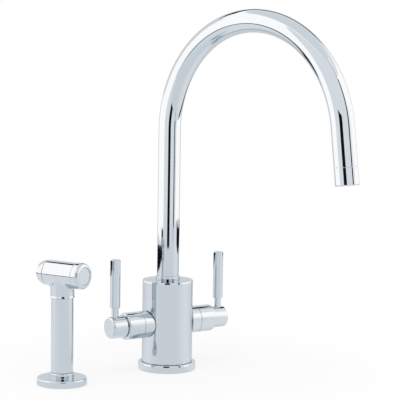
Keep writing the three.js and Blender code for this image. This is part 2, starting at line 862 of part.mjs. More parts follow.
/** The valve that sends water to the spray: a sprung piston in a cartridge under the spout. */
function makeDiverter() {
  const foot = chamberFloor - diverterSeatDepth + restGap;
  const barrelOuter = spigotBore - runGap;
  const pistonBore = barrelOuter - diverterWall;
  const flangeFoot = chamberFloor + restGap;
  const flangeTop = flangeFoot + diverterFlangeThickness;
  const flangeOuter = spigotRadius - fitGap;
  const pistonTop = foot + pistonLength;
  const ceiling = pistonTop + pistonTravel + diverterSpringSolid;
  const top = ceiling + diverterFlangeThickness;
  const housing = turned(
    hollow(
      [
        [diverterSeatRadius - fitGap, foot],
        [diverterSeatRadius - fitGap, flangeFoot],
        [flangeOuter, flangeFoot],
        [flangeOuter, flangeTop],
        [barrelOuter, flangeTop],
        [barrelOuter, top],
      ],
      [
        [pistonBore, foot],
        [pistonBore, ceiling],
        [diverterMouth, ceiling],
        [diverterMouth, top],
      ],
    ),
  );
  const windowHeight = (flangeTop + spigotFoot) / 2;
  const windowReach = 2 * barrelOuter;
  const windowRadius = (spigotFoot - flangeTop) / 4;
  const windowed = cut(
    housing,
    bar(at(-windowReach, 0, windowHeight), at(windowReach, 0, windowHeight), windowRadius),
    bar(at(0, -windowReach, windowHeight), at(0, windowReach, windowHeight), windowRadius),
  );
  const pistonRadius = pistonBore - runGap;
  const spring = ring(
    pistonRadius - diverterSpringWire,
    pistonRadius,
    pistonTop + restGap,
    ceiling - restGap,
  );
  return groupOf(
    piece("diverter_housing", windowed, "brass"),
    piece("diverter_piston", turned(rod(pistonRadius, foot, pistonTop)), "plastic"),
    piece("diverter_spring", turned(spring), "steel"),
  );
}

// ================================================================ side spray: holder

function makeHolder() {
  const flangeBore = bushOuter + fitGap;
  const threadRecess = sprayShankRadius + fitGap;
  const flange = turned(
    hollow(
      [
        [spraySealInner, 0],
        [spraySealInner, spraySealThickness],
        [spraySealOuter, spraySealThickness],
        [spraySealOuter, 0],
        [sprayFlangeRadius, 0],
        ...roundedEdge(sprayFlangeRadius, sprayFlangeHeight, sprayFlangeEdge),
        [holderCollarRadius, sprayFlangeHeight],
        ...roundedEdge(holderCollarRadius, holderTop, holderCollarEdge),
      ],
      [
        [threadRecess, 0],
        [threadRecess, sprayShankInFlange],
        [flangeBore, sprayShankInFlange],
        [flangeBore, holderTop],
      ],
    ),
    wideSides,
  );
  const seal = ring(spraySealInner + fitGap, spraySealOuter - fitGap, 0, spraySealThickness - restGap);
  const shankTop = sprayShankInFlange - restGap;
  const shank = ring(flangeBore, sprayShankRadius, -sprayShankBelowDeck, shankTop);
  const bush = ring(bushOuter - bushWall, bushOuter, -bushBelowDeck, holderTop - restGap);
  const steelTop = -deckThickness;
  const nutTop = steelTop - steelWasherThickness;
  const hole = sprayShankRadius + fitGap;
  return groupOf(
    piece("spray_flange", flange, "chrome"),
    piece("spray_seal", turned(seal, wideSides), "rubber"),
    piece("spray_shank", turned(shank), "brass"),
    piece("spray_bush", turned(bush), "darkPlastic"),
    piece("spray_steel_washer", turned(ring(hole, sprayWasherRadius, nutTop, steelTop)), "steel"),
    piece(
      "spray_backnut",
      hexNut(sprayNutAcrossFlats, hole, nutTop - sprayNutHeight, sprayNutHeight),
      "brass",
    ),
  );
}

// ================================================================ side spray: handle and hose swivel

function makeHandle() {
  const foot = handleFoot;
  const nippleHead = stubRadius - stubWall - runGap;
  const headTop = foot + nippleHeadLength;
  const stubBore = nippleHead + runGap;
  const clipMiddle = headTop - clipPlace;
  const clipSlot = clipThickness + 2 * restGap;
  const handle = turned(
    hollow(
      [
        [stubRadius, foot],
        [stubRadius, holderTop + restGap],
        [handleRadius, holderTop + restGap],
        [handleRadius, handleTop],
      ],
      [
        [stubBore, foot],
        [stubBore, clipMiddle - clipSlot / 2],
        [stubBore + clipDepth, clipMiddle - clipSlot / 2],
        [stubBore + clipDepth, clipMiddle + clipSlot / 2],
        [stubBore, clipMiddle + clipSlot / 2],
        [stubBore, headTop + runGap],
        [handleRadius - handleWall, holderTop + handleWall],
        [handleRadius - handleWall, handleTop],
      ],
    ),
    tubeSides,
  );
  const oringPlace = foot + nippleOringPlace;
  const shoulderTop = foot - restGap;
  const threadTop = shoulderTop - nippleShoulder;
  const nipple = turned(
    hollow(
      [
        [nippleThreadRadius, threadTop - nippleThreadLength],
        [nippleThreadRadius, threadTop],
        [stubRadius - fitGap, threadTop],
        [stubRadius - fitGap, shoulderTop],
        [nippleHead, shoulderTop],
        ...groove(nippleHead, oringGrooveDepth, oringPlace, oringSection + fitGap),
        ...groove(nippleHead, clipDepth + fitGap, clipMiddle, clipSlot),
        [nippleHead, headTop],
      ],
      [
        [nippleBore, threadTop - nippleThreadLength],
        [nippleBore, headTop],
      ],
    ),
  );
  const clip = ring(
    nippleHead - clipDepth + fitGap,
    stubBore + clipDepth - fitGap,
    clipMiddle - clipThickness / 2,
    clipMiddle + clipThickness / 2,
  );
  return groupOf(
    piece("spray_handle", handle, "chrome"),
    piece("spray_swivel_nipple", nipple, "brass"),
    piece(
      "spray_nipple_oring",
      oring(nippleHead - oringGrooveDepth, nippleHead + oringProud, oringPlace),
      "rubber",
    ),
    piece("spray_nipple_clip", turned(clip), "steel"),
  );
}

// ================================================================ side spray: head

/** The head's cast body: an upright neck under a level barrel. Its frame has +Z along the button. */
function makeHeadBody() {
  const down = (distance) => at(0, -distance, 0);
  const neckFoot = headHeight - headFoot;
  const neck = bar(down(neckFoot), down(0), neckRadius, tubeSides);
  const barrel = turned(rod(barrelRadius, -barrelBack, barrelFront), tubeSides);
  return cut(
    join(barrel, neck),
    bar(down(neckFoot + cutOver), down(barrelBore), handleRadius - handleWall, roundSides),
    bar(down(barrelBore + cutOver), down(0), valveInletRadius, roundSides),
    turned(rod(barrelBore, barrelFront - barrelBoreDepth, barrelFront + cutOver)),
    turned(rod(valveChamberRadius, -valveSeatPlace, barrelFront)),
    turned(rod(barrelBore, -barrelBack - cutOver, -valveSeatPlace + valveSeatThickness)),
  );
}

/** The cap that closes the barrel, guides the button and seals its stem. */
function makeEndCap() {
  const foot = barrelFront + seatGap;
  const top = foot + capLength;
  const spigotEnd = barrelFront - barrelBoreDepth + seatGap;
  const guide = buttonRadius + runGap;
  const floor = top - buttonRecess - buttonThickness - buttonTravel - seatGap;
  const stemHole = valveStemRadius + runGap;
  return turned(
    hollow(
      [
        [barrelBore - fitGap, spigotEnd],
        [barrelBore - fitGap, foot],
        [capRadius, foot],
        ...roundedEdge(capRadius, top, capEdge),
      ],
      [
        [stemHole, spigotEnd],
        [stemHole, floor],
        [guide, floor],
        [guide, top - capRimWidth / 2],
        [guide + capRimWidth / 2, top],
      ],
    ),
    tubeSides,
  );
}

/** The button and the stem and poppet behind it, which all move inwards together. */
function makeButton() {
  const top = barrelFront + seatGap + capLength - buttonRecess;
  const foot = top - buttonThickness;
  const poppetTop = -valveSeatPlace - seatGap;
  const button = turned(rod(buttonRadius, foot, top), tubeSides);
  const oringPlace = barrelFront - barrelBoreDepth / 2;
  const grooveDepth = oringGrooveDepth / 2;
  const stem = turned(
    [
      [0, poppetTop - poppetThickness],
      [poppetRadius, poppetTop - poppetThickness],
      [poppetRadius, poppetTop],
      [valveStemRadius, poppetTop],
      ...groove(valveStemRadius, grooveDepth, oringPlace, oringSection),
      [valveStemRadius, foot - seatGap],
      [0, foot - seatGap],
    ],
    smallSides,
  );
  return groupOf(
    piece("spray_button", button, "chrome"),
    piece("spray_valve_stem", stem, "brass"),
    piece(
      "spray_stem_oring",
      oring(valveStemRadius - grooveDepth, valveStemRadius + oringProud, oringPlace),
      "rubber",
    ),
  );
}

/** The nozzle end: a rounded nose with a web for the spring, and the plate that makes the spray. */
function makeNozzle() {
  const foot = barrelBack + seatGap;
  const end = foot + noseLength;
  const plateTop = end - nozzlePlateRecess;
  const plateFoot = plateTop - nozzlePlateThickness;
  const waterway = nozzlePlateRadius - 2 * fitGap;
  const noseBlank = turned(
    hollow(
      [
        [barrelBore - fitGap, noseWebPlace],
        [barrelBore - fitGap, foot],
        [barrelRadius - fitGap, foot],
        [barrelRadius - fitGap, foot + noseShoulder],
        [(barrelRadius + noseEndRadius) / 2, foot + noseKnee],
        [noseEndRadius, end],
      ],
      [
        [noseWebHole, noseWebPlace],
        [noseWebHole, noseWebPlace + noseWebThickness],
        [waterway - fitGap, noseWebPlace + noseWebThickness],
        [waterway - fitGap, plateFoot - seatGap],
        [nozzlePlateRadius + fitGap, plateFoot - seatGap],
        [nozzlePlateRadius + fitGap, end],
      ],
    ),
    tubeSides,
  );
  const webHoles = [0, 1, 2, 3].map((i) => {
    const angle = (i / 4) * 2 * Math.PI;
    const radius = (poppetRadius + barrelBore) / 2 - fitGap;
    const place = at(radius * Math.cos(angle), radius * Math.sin(angle), noseWebPlace - cutOver);
    const far = place.clone().setZ(noseWebPlace + noseWebThickness + cutOver);
    return bar(place, far, nozzleHoleRadius, 6);
  });
  const plate = turned(rod(nozzlePlateRadius, plateFoot, plateTop));
  const plateHoles = holeRings([0, nozzleHoleCircle], ({ x, y }) =>
    bar(at(x, y, plateFoot - cutOver), at(x, y, plateTop + cutOver), nozzleHoleRadius),
  );
  const seatFoot = seatGap + valveSeatPlace - valveSeatThickness;
  const seat = ring(valveSeatHole, barrelBore - fitGap, seatFoot, valveSeatPlace);
  const springOuter = poppetRadius - fitGap;
  const springFoot = valveSeatPlace + 2 * seatGap + poppetThickness;
  const spring = ring(springOuter - valveSpringWire, springOuter, springFoot, noseWebPlace - seatGap);
  const nozzle = groupOf(
    piece("spray_nose", cut(noseBlank, ...webHoles), "chrome"),
    piece("spray_nozzle_plate", cut(plate, ...plateHoles), "darkPlastic"),
    piece("spray_valve_seat", turned(seat), "plastic"),
    piece("spray_valve_spring", turned(spring), "steel"),
  );
  nozzle.rotation.x = Math.PI;
  return nozzle;
}

/** The whole head, with the button's axis turned level and towards the user. */
function makeHead() {
  const level = groupOf(
    piece("spray_head", makeHeadBody(), "chrome"),
    piece("spray_end_cap", makeEndCap(), "chrome"),
    makeButton(),
    makeNozzle(),
  );
  level.rotation.x = Math.PI / 2;
  const head = groupOf(level);
  head.rotation.z = THREE.MathUtils.degToRad(headTurn);
  head.position.z = headHeight;
  return head;
}

function makeSpray() {
  const spray = groupOf(makeHolder(), makeHandle(), makeHead());
  spray.position.set(-sprayAside, -sprayForward, 0);
  return spray;
}

// ================================================================ the whole tap

const tap = groupOf(
  makeBase(),
  makeBody(),
  makeArm("hot", -1),
  makeArm("cold", 1),
  makeSpout(),
  makeDiverter(),
  makeSpray(),
);

export default tap;
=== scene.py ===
import json
import math

import bmesh
import bpy
from mathutils import Matrix, Quaternion, Vector


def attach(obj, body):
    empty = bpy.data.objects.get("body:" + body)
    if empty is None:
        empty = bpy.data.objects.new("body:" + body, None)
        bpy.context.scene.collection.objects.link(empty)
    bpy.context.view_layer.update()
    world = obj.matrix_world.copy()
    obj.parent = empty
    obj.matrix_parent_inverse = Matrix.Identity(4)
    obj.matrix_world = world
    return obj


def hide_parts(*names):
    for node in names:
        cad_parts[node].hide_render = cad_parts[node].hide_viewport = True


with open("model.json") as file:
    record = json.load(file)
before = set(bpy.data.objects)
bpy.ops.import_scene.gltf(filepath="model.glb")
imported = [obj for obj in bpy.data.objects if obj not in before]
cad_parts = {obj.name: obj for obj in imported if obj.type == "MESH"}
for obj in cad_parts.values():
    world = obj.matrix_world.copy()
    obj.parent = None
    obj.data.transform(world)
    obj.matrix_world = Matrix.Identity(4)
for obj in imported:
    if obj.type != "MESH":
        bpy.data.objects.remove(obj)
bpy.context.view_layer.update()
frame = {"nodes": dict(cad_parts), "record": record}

# ---------------------------------------------------------------------- camera
# A long lens, from the front left and a little above the outlet. It looks slightly down, and is
# held a shade askew.
camera = bpy.data.objects.new("camera", bpy.data.cameras.new("camera"))
camera.data.sensor_width = 36
camera.data.lens = 139.27
bearing, distance, height = math.radians(-33.36), 1.51956, 0.32857
camera.location = (distance * math.sin(bearing), -distance * math.cos(bearing), height)
heading, pitch, roll = bearing - math.radians(1.16), math.radians(5.99), math.radians(0.88)
ahead = Vector((-math.sin(heading), math.cos(heading), -math.tan(pitch)))
camera.rotation_mode = "QUATERNION"
camera.rotation_quaternion = ahead.to_track_quat("-Z", "Y") @ Quaternion((0, 0, 1), roll)
bpy.context.scene.collection.objects.link(camera)
bpy.context.scene.camera = camera
bpy.context.scene.view_settings.view_transform = "Standard"


# ---------------------------------------------------------------------- studio
# A pale table in a tent of white cloth, with a screen on the camera's side, for polished metal
# shows whatever stands round it. Only reflections see the cloths, and their greys and dark bands
# are painted reflections: the camera sees white, and the lamp shines through.
class Wire:
    """An output of a shader node. Arithmetic on it adds Math nodes."""

    def __init__(self, paint, socket):
        self.paint, self.socket = paint, socket

    def _math(self, operation, *terms):
        return self.paint.node("ShaderNodeMath", {"operation": operation}, dict(enumerate(terms)))

    def __add__(self, other):
        return self._math("ADD", self, other)

    def __sub__(self, other):
        return self._math("SUBTRACT", self, other)

    def __rsub__(self, other):
        return self._math("SUBTRACT", other, self)

    def __mul__(self, other):
        return self._math("MULTIPLY", self, other)

    def __or__(self, other):
        return self._math("MAXIMUM", self, other)

    def __neg__(self):
        return self._math("MULTIPLY", self, -1.0)

    __radd__ = __add__
    __rmul__ = __mul__


class Paint:
    """The node tree of a material or of the world, while it is put together."""

    def __init__(self, owner):
        owner.use_nodes = True
        self.owner, self.tree = owner, owner.node_tree
        self.tree.nodes.clear()

    def node(self, kind, settings=None, sockets=None, output=0):
        made = self.tree.nodes.new(kind)
        for name, value in (settings or {}).items():
            setattr(made, name, value)
        for key, value in (sockets or {}).items():
            if isinstance(value, Wire):
                self.tree.links.new(value.socket, made.inputs[key])
            else:
                made.inputs[key].default_value = value
        return Wire(self, made.outputs[output])

    def step(self, value, low, high):
        """0 below low, 1 above high, and smooth between."""
        return self.node(
            "ShaderNodeMapRange",
            {"interpolation_type": "SMOOTHSTEP"},
            {"Value": value, "From Min": low, "From Max": high},
        )

    def band(self, value, low, high, soft):
        """1 between low and high, 0 outside, and smooth over soft beyond each."""
        return self.step(value, low - soft, low) * (1 - self.step(value, high, high + soft))

    def blend(self, share, first, second):
        """first where share is 0, second where it is 1."""
        return self.node(
            "ShaderNodeMix", {"data_type": "RGBA"}, {0: share, 6: first, 7: second}, output=2
        )

    def point(self):
        """The point that is shaded."""
        return self.node("ShaderNodeTexCoord", output="Object")

    def place(self):
        """The shaded point's x, height, distance from the origin and bearing round it in degrees.
        The bearing is 0 in front and 90 on the right."""
        point = self.point()
        x, y, z = (
            self.node("ShaderNodeSeparateXYZ", sockets={0: point}, output=axis) for axis in "XYZ"
        )
        off = self.node("ShaderNodeVectorMath", {"operation": "LENGTH"}, {0: point}, "Value")
        around = self.node("ShaderNodeMath", {"operation": "ARCTAN2"}, {0: x, 1: -y})
        return x, z, off, around * (180 / math.pi)

    def ray(self, kind):
        """1 where the ray that arrives is of that kind, else 0."""
        return self.node("ShaderNodeLightPath", output=f"Is {kind} Ray")

    def finish(self, surface):
        """Links the surface to the output, and gives the material or world back."""
        kind = "World" if isinstance(self.owner, bpy.types.World) else "Material"
        output = self.tree.nodes.new(f"ShaderNodeOutput{kind}")
        self.tree.links.new(surface.socket, output.inputs["Surface"])
        return self.owner


def shown(name, bm):
    """Puts a bmesh in the scene as an object with its place in its mesh."""
    mesh = bpy.data.meshes.new(name)
    bm.to_mesh(mesh)
    bm.free()
    thing = bpy.data.objects.new(name, mesh)
    bpy.context.scene.collection.objects.link(thing)
    return thing


def drawn(bm, edges):
    """Extrudes a ring of edges, and gives the new ring and its vertices."""
    grown = bmesh.ops.extrude_edge_only(bm, edges=edges)["geom"]
    return (
        [part for part in grown if isinstance(part, bmesh.types.BMEdge)],
        [part for part in grown if isinstance(part, bmesh.types.BMVert)],
    )


white = (1, 1, 1, 1)
black = (0.004, 0.006, 0.009, 1)
sky = Paint(bpy.data.worlds.new("studio"))
seen = sky.ray("Camera") | sky.ray("Glossy") | sky.ray("Transmission")
sky_light = sky.node(
    "ShaderNodeBackground", sockets={"Color": white, "Strength": 0.8 + 0.2 * seen}
)
bpy.context.scene.world = sky.finish(sky_light)


def mirrored_light(paint, colour):
    """What chrome shows, painted dimmer and cooler at each further bounce between chromed pieces.
    """
    kept, cooler = 0.66, (0.91, 1, 1.07, 1)
    further = (paint.node("ShaderNodeLightPath", output="Glossy Depth") | 1.0) - 1
    left = paint.node("ShaderNodeMath", {"operation": "POWER"}, {0: kept, 1: further})
    cooled = paint.node(
        "ShaderNodeMix",
        {"data_type": "RGBA", "blend_type": "MULTIPLY"},
        {0: further, 6: colour, 7: cooler},
        output=2,
    )
    return paint.node("ShaderNodeEmission", sockets={"Color": cooled, "Strength": left})


bm = bmesh.new()
bmesh.ops.create_circle(bm, cap_ends=True, segments=96, radius=6)
floor = shown("floor", bm)
table = Paint(bpy.data.materials.new("table"))
x, _, reach, around = table.place()

# Reflections show the table a painted grey, darker towards the camera and away from it.
lens_side = (math.sin(bearing), -math.cos(bearing), 0)
outwards = table.node("ShaderNodeVectorMath", {"operation": "NORMALIZE"}, {0: table.point()})
towards = table.node(
    "ShaderNodeVectorMath", {"operation": "DOT_PRODUCT"}, {0: outwards, 1: lens_side}, "Value"
)
front_grey = (0.58, 0.63, 0.67, 1)
side_grey = (0.68, 0.72, 0.76, 1)
back_grey = (0.58, 0.62, 0.66, 1)
mirrored = table.blend(table.step(towards, 0.1, 0.95), side_grey, front_grey)
mirrored = table.blend(table.step(-towards, 0.1, 0.8), mirrored, back_grey)

# Past its edges they find painted dark, in a strip behind at the left and one at the right.
painted_dark_left = table.step(reach + 0.39 * x, 0.465, 0.485) * table.step(reach + 0.12 * x, 0.61, 0.63)
painted_dark_left = painted_dark_left * table.band(around, -190, -98, 6) * (1 - table.step(reach, 0.92, 0.94))
painted_dark_right = table.band(x, 0.84, 1.14, 0.02) * table.band(around, 62, 150, 3)
mirrored = table.blend(painted_dark_left | painted_dark_right, mirrored, black)

# To the camera it is bleached white, and keeps a trace of shadow round the feet.
matt = table.node("ShaderNodeBsdfDiffuse", sockets={"Color": (0.97, 0.97, 0.97, 1)})
glow = table.node("ShaderNodeEmission", sockets={"Color": white})
bleached = 0.74 + 0.26 * table.step(reach, 0.12, 0.27)
top = table.node("ShaderNodeMixShader", sockets={0: bleached, 1: matt, 2: glow})
grey = mirrored_light(table, mirrored)
surface = table.node("ShaderNodeMixShader", sockets={0: table.ray("Glossy"), 1: top, 2: grey})
floor.data.materials.append(table.finish(surface))


def hung(name, bm, colour_of):
    """Cloth about the table, which only reflections see."""
    cloth = shown(name, bm)
    canvas = Paint(bpy.data.materials.new(name))
    colour, clear_here = colour_of(canvas, *canvas.place())
    lit = mirrored_light(canvas, colour)
    clear = canvas.node("ShaderNodeBsdfTransparent")
    surface = canvas.node("ShaderNodeMixShader", sockets={0: clear_here, 1: lit, 2: clear})
    cloth.data.materials.append(canvas.finish(surface))
    cloth.visible_camera = cloth.visible_diffuse = cloth.visible_shadow = False
    cloth.visible_transmission = False


def tent_cloth(canvas, x, z, off, around):
    """White, but grey behind, low at the front right, and on the roof's right and middle. Dark
    bands are painted for reflections: high behind, low at the left, at the front right, and a
    dimmer one behind."""
    behind_grey = (0.60, 0.64, 0.68, 1)
    right_pale, right_grey = (0.84, 0.86, 0.88, 1), (0.62, 0.66, 0.70, 1)
    roof_grey, roof_middle = (0.72, 0.75, 0.78, 1), (0.62, 0.67, 0.71, 1)
    behind = 1 - canvas.band(around, -170, 98, 8)
    right = canvas.band(around, 16, 35, 5)
    wall = canvas.blend(behind, white, behind_grey)
    wall = canvas.blend(right * (1 - canvas.step(z, 0.45, 0.85)), wall, right_pale)
    wall = canvas.blend(right * (1 - canvas.step(z, 0.08, 0.45)), wall, right_grey)
    roof = canvas.blend(canvas.step(x, 0.2, 0.5), white, roof_grey)
    roof = canvas.blend(canvas.step(off, 1.49, 1.51), roof_middle, roof)
    colour = canvas.blend(canvas.step(z, 1.28, 1.29), wall, roof)
    # Painted dark bands for reflections to show: high on the wall behind and the roof's rim, low at
    # the left, at the front right, and a dimmer band behind.
    roof_clear_of_painted_dark = canvas.step(z, 1.284, 1.288) * (1 - canvas.step(off, 1.62, 1.64))
    painted_dark_top = canvas.step(z, 1.05, 1.06) * (1 - roof_clear_of_painted_dark) * behind
    painted_dark_low_left = canvas.band(around, -108, -92, 4) * (1 - canvas.step(z, 0.022, 0.026))
    painted_dark_front_right = canvas.band(around, 14, 23, 0.5) * (1 - canvas.step(z, 1.20, 1.21))
    painted_dim_band_behind = 0.3 * canvas.band(around, -176, -152, 5) * canvas.band(z, 0.36, 1.1, 0.05)
    return canvas.blend(painted_dark_top | painted_dark_low_left | painted_dark_front_right | painted_dim_band_behind, colour, black), 0.0


def screen_cloth(canvas, x, z, off, around):
    """Grey, with a painted dark mouth for the lens and a painted dark right edge, which reflections
    show. It is cut away elsewhere.
    """
    painted_dark_mouth = canvas.band(around, -46, -23, 1) * canvas.band(z, 0.049, 0.345, 0.004)
    # A painted dark band at the screen's right edge, for reflections to show.
    edge = canvas.step(around, 13.2, 13.6) * canvas.step(z, 0.05, 0.06)
    grey = canvas.blend(canvas.step(z, 0, 0.14), front_grey, side_grey)
    return canvas.blend(painted_dark_mouth | edge, grey, black), 1 - canvas.band(around, -88, 16, 0.5)


tent_radius, tent_height, tent_shift = 1.12, 1.29, 0.17
bm = bmesh.new()
bmesh.ops.create_cone(
    bm, cap_ends=True, segments=128, radius1=tent_radius, radius2=tent_radius, depth=tent_height
)
bmesh.ops.translate(bm, vec=(tent_shift, 0, tent_height / 2), verts=bm.verts)
bmesh.ops.delete(bm, geom=[face for face in bm.faces if face.normal.z < -0.9], context="FACES")
hung("tent", bm, tent_cloth)

screen_radius, screen_height = 0.56, 0.95
bm = bmesh.new()
bmesh.ops.create_circle(bm, cap_ends=False, segments=180, radius=screen_radius)
_, verts = drawn(bm, bm.edges[:])
bmesh.ops.translate(bm, vec=(0, 0, screen_height), verts=verts)
hung("screen", bm, screen_cloth)

lamp = bpy.data.objects.new("lamp", bpy.data.lights.new("lamp", "AREA"))
lamp.data.size = 1.2
lamp.data.energy = 6
lamp.location = (-0.5, -0.5, 1.6)
lamp.rotation_euler = (Vector((0, 0, 0.1)) - lamp.location).to_track_quat("-Z", "Y").to_euler()
lamp.visible_glossy = False
bpy.context.scene.collection.objects.link(lamp)


# ---------------------------------------------------------------------- foot
# The mixer stands on a turned brass flange, chrome plated and polished. Its upper edge is slightly
# tapered, and its underside is recessed for a rubber seal.
def turned(profile, steps=96):
    """Turns [radius, height, corner radius] points, in millimetres, round the upright axis.
    A profile that starts on the axis is left open there, and any other is closed."""
    bm = bmesh.new()
    points = [bm.verts.new((radius, 0, level)) for radius, level, *_ in profile]
    closed = profile[0][0] > 0
    for first, second in zip(points, points[1:] + points[: 1 if closed else 0]):
        bm.edges.new((first, second))
    for point, (_, _, *corner) in zip(points, profile):
        if corner:
            bmesh.ops.bevel(
                bm,
                geom=[point],
                offset=corner[0],
                offset_type="OFFSET",
                segments=6,
                profile=0.5,
                affect="VERTICES",
                material=-1,
            )
    bmesh.ops.spin(
        bm,
        geom=bm.verts[:] + bm.edges[:],
        axis=(0, 0, 1),
        cent=(0, 0, 0),
        angle=2 * math.pi,
        steps=steps,
        use_merge=True,
    )
    return bm


def made(name, bm, slot, body, node, place=Matrix()):
    """Places a bmesh of millimetres in the frame, where it stands for a node."""
    crease = math.radians(32)
    bmesh.ops.remove_doubles(bm, verts=bm.verts, dist=1e-4)
    bmesh.ops.recalc_face_normals(bm, faces=bm.faces)
    bm.transform(Matrix.Scale(0.001, 4) @ place)
    piece = shown(name, bm)
    piece.data.shade_smooth()
    piece.data.set_sharp_from_angle(angle=crease)
    piece.data.materials.append(finishes[slot])
    even = piece.modifiers.new("even", "WEIGHTED_NORMAL")
    even.keep_sharp, even.weight = True, 90
    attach(piece, body)
    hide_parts(node)


def polished_chrome():
    """Bright plate over polished brass: a trace of haze, and the faintest unevenness."""
    paint = Paint(bpy.data.materials.new("polished chrome"))
    point = paint.point()
    haze = paint.node(
        "ShaderNodeTexNoise", sockets={"Vector": point, "Scale": 60.0, "Detail": 4.0}
    )
    wipe = paint.node(
        "ShaderNodeTexNoise", sockets={"Vector": point, "Scale": 900.0, "Detail": 2.0}
    )
    bump = paint.node(
        "ShaderNodeBump", sockets={"Strength": 0.015, "Distance": 0.0001, "Height": wipe}
    )
    return paint.finish(
        paint.node(
            "ShaderNodeBsdfPrincipled",
            sockets={
                "Base Color": paint.blend(haze, (0.95, 0.965, 0.98, 1), (0.93, 0.945, 0.96, 1)),
                "Metallic": 1.0,
                "Roughness": 0.02 + 0.03 * haze,
                "Normal": bump,
            },
        )
    )


finishes = {"chrome": polished_chrome()}
foot = [
    (16.7, 0, 0.2),
    (19.5, 0, 0.2),
    (19.5, 2.4),
    (26, 2.4),
    (26, 0, 0.2),
    (28.5, 0, 0.4),
    (28.5, 5.9, 0.3),
    (28.2, 7.8, 0.6),
    (16.7, 7.8, 0.3),
]
made("foot", turned(foot, 128), "chrome", "deck_fixed", "base_flange")

# ---------------------------------------------------------------------- pillar
# The body of the mixer: a turned pillar of plated brass, slightly tapered at its top edge, with a
# boss for a valve on each side. The spout stands in a socket in its top.
pillar_radius = 25
pillar = [
    (0, 13.9),
    (16.7, 13.9),
    (16.7, 7.8),
    (pillar_radius, 7.8, 0.6),
    (pillar_radius, 88, 0.2),
    (24.75, 89.4, 0.15),
    (11.5, 89.4, 0.3),
    (11.5, 88.5),
    (9.8, 88.5),
    (9.8, 56.8),
    (6, 56.8),
    (6, 52.3),
    (0, 52.3),
]
bm = turned(pillar, 160)

# Each boss is a tube of rings, from a groove in the pillar out to its mouth and back into its bore.
# A ring has a radius, whether it follows the pillar's skin, and how far out it lies.
arm_height = 46.8
boss = [
    (11.6, 1, -2),
    (11.6, 1, 1.2),
    (13.2, 1, 1.2),
    (13.2, 0, 33),
    (13.1, 0, 33.1),
    (9.7, 0, 33.1),
    (9.5, 0, 32.9),
    (9.5, 0, 18),
]


def added(bm, part, place=Matrix()):
    """Puts one bmesh into another."""
    part.transform(place)
    joined = bpy.data.meshes.new("joined")
    part.to_mesh(joined)
    part.free()
    bm.from_mesh(joined)
    bpy.data.meshes.remove(joined)


for side in (-1, 1):
    part = bmesh.new()
    bmesh.ops.create_circle(part, cap_ends=False, segments=160, radius=boss[0][0])
    rings = [(part.edges[:], part.verts[:])]
    while len(rings) < len(boss):
        rings.append(drawn(part, rings[-1][0]))
    for (_, verts), (radius, on_skin, out) in zip(rings, boss):
        for vert in verts:
            angle = math.atan2(vert.co.y, vert.co.x)
            skin = math.sqrt(pillar_radius**2 - (radius * math.sin(angle)) ** 2)
            vert.co = radius * math.cos(angle), radius * math.sin(angle), on_skin * skin + out
    for ring in (rings[-1][0], rings[0][0]):
        bmesh.ops.holes_fill(part, edges=ring)
    sideways = Matrix.Rotation(side * math.pi / 2, 4, "Y")
    added(bm, part, Matrix.Translation((0, 0, arm_height)) @ sideways)
made("pillar", bm, "chrome", "deck_fixed", "mixer_body")

# ---------------------------------------------------------------------- arms
# Each arm ends in a plated sleeve over its valve and a turned hub that carries the lever. The lever
# is one bar, turned down to a stem that screws into the hub.
sleeve = [
    (8.4, 51.1, 0.2),
    (8.4, 48.7),
    (11.8, 48.7),
    (11.8, 33.4, 0.2),
    (13.2, 33.4, 0.1),
    (13.2, 51.1, 1.4),
    (11.2, 51.1),
]
hub = [(0, 57.4), (4.3, 57.4), (4.3, 51.4), (10.6, 51.4, 0.1), (10.6, 67.6, 1.9), (0, 67.6)]
lever = [
    (0, 2.5),
    (2.5, 2.5, 0.3),
    (2.5, 9.5),
    (3.4, 9.5),
    (3.4, 19.3),
    (5, 19.3, 0.6),
    (5, 66.5, 0.6),
    (0, 66.5),
]
lever_out = 60.9
for water, side in (("hot", -1), ("cold", 1)):
    along = Matrix.Translation((0, 0, arm_height)) @ Matrix.Rotation(side * math.pi / 2, 4, "Y")
    upright = Matrix.Translation((side * lever_out, 0, arm_height))
    for name, bm, body, node, place in (
        ("sleeve", turned(sleeve), "deck_fixed", "valve_sleeve", along),
        ("hub", turned(hub), f"{water}_handle", "handle_hub", along),
        ("lever_bar", turned(lever, 64), f"{water}_handle", "lever", upright),
    ):
        made(f"{water}_{name}", bm, "chrome", body, f"{water}_{node}", place)

# ---------------------------------------------------------------------- spout
# A swan neck bent from 22 mm brass tube and plated. It is brazed on a turned spigot, whose collar
# rests on the pillar, and carries a screwed outlet ring at its end.
spout_turn = Matrix.Rotation(math.radians(13.15), 4, "Z")
spigot = [
    (5.5, 64.3),
    (9.5, 64.3, 0.4),
    (9.5, 66.2),
    (7.9, 66.2),
    (7.9, 68.4),
    (9.5, 68.4),
    (9.5, 74.35),
    (7.9, 74.35),
    (7.9, 79.35),
    (9.5, 79.35),
    (9.5, 84.4),
    (7.9, 84.4),
    (7.9, 86.6),
    (9.5, 86.6),
    (9.5, 89.8),
    (11.55, 89.8),
    (11.55, 89.45),
    (11.7, 89.45),
    (11.7, 93.8, 0.5),
    (8.85, 93.8),
    (8.85, 104.8),
    (5.5, 104.8),
]
made("spout_foot", turned(spigot), "chrome", "spout", "spout_spigot", spout_turn)

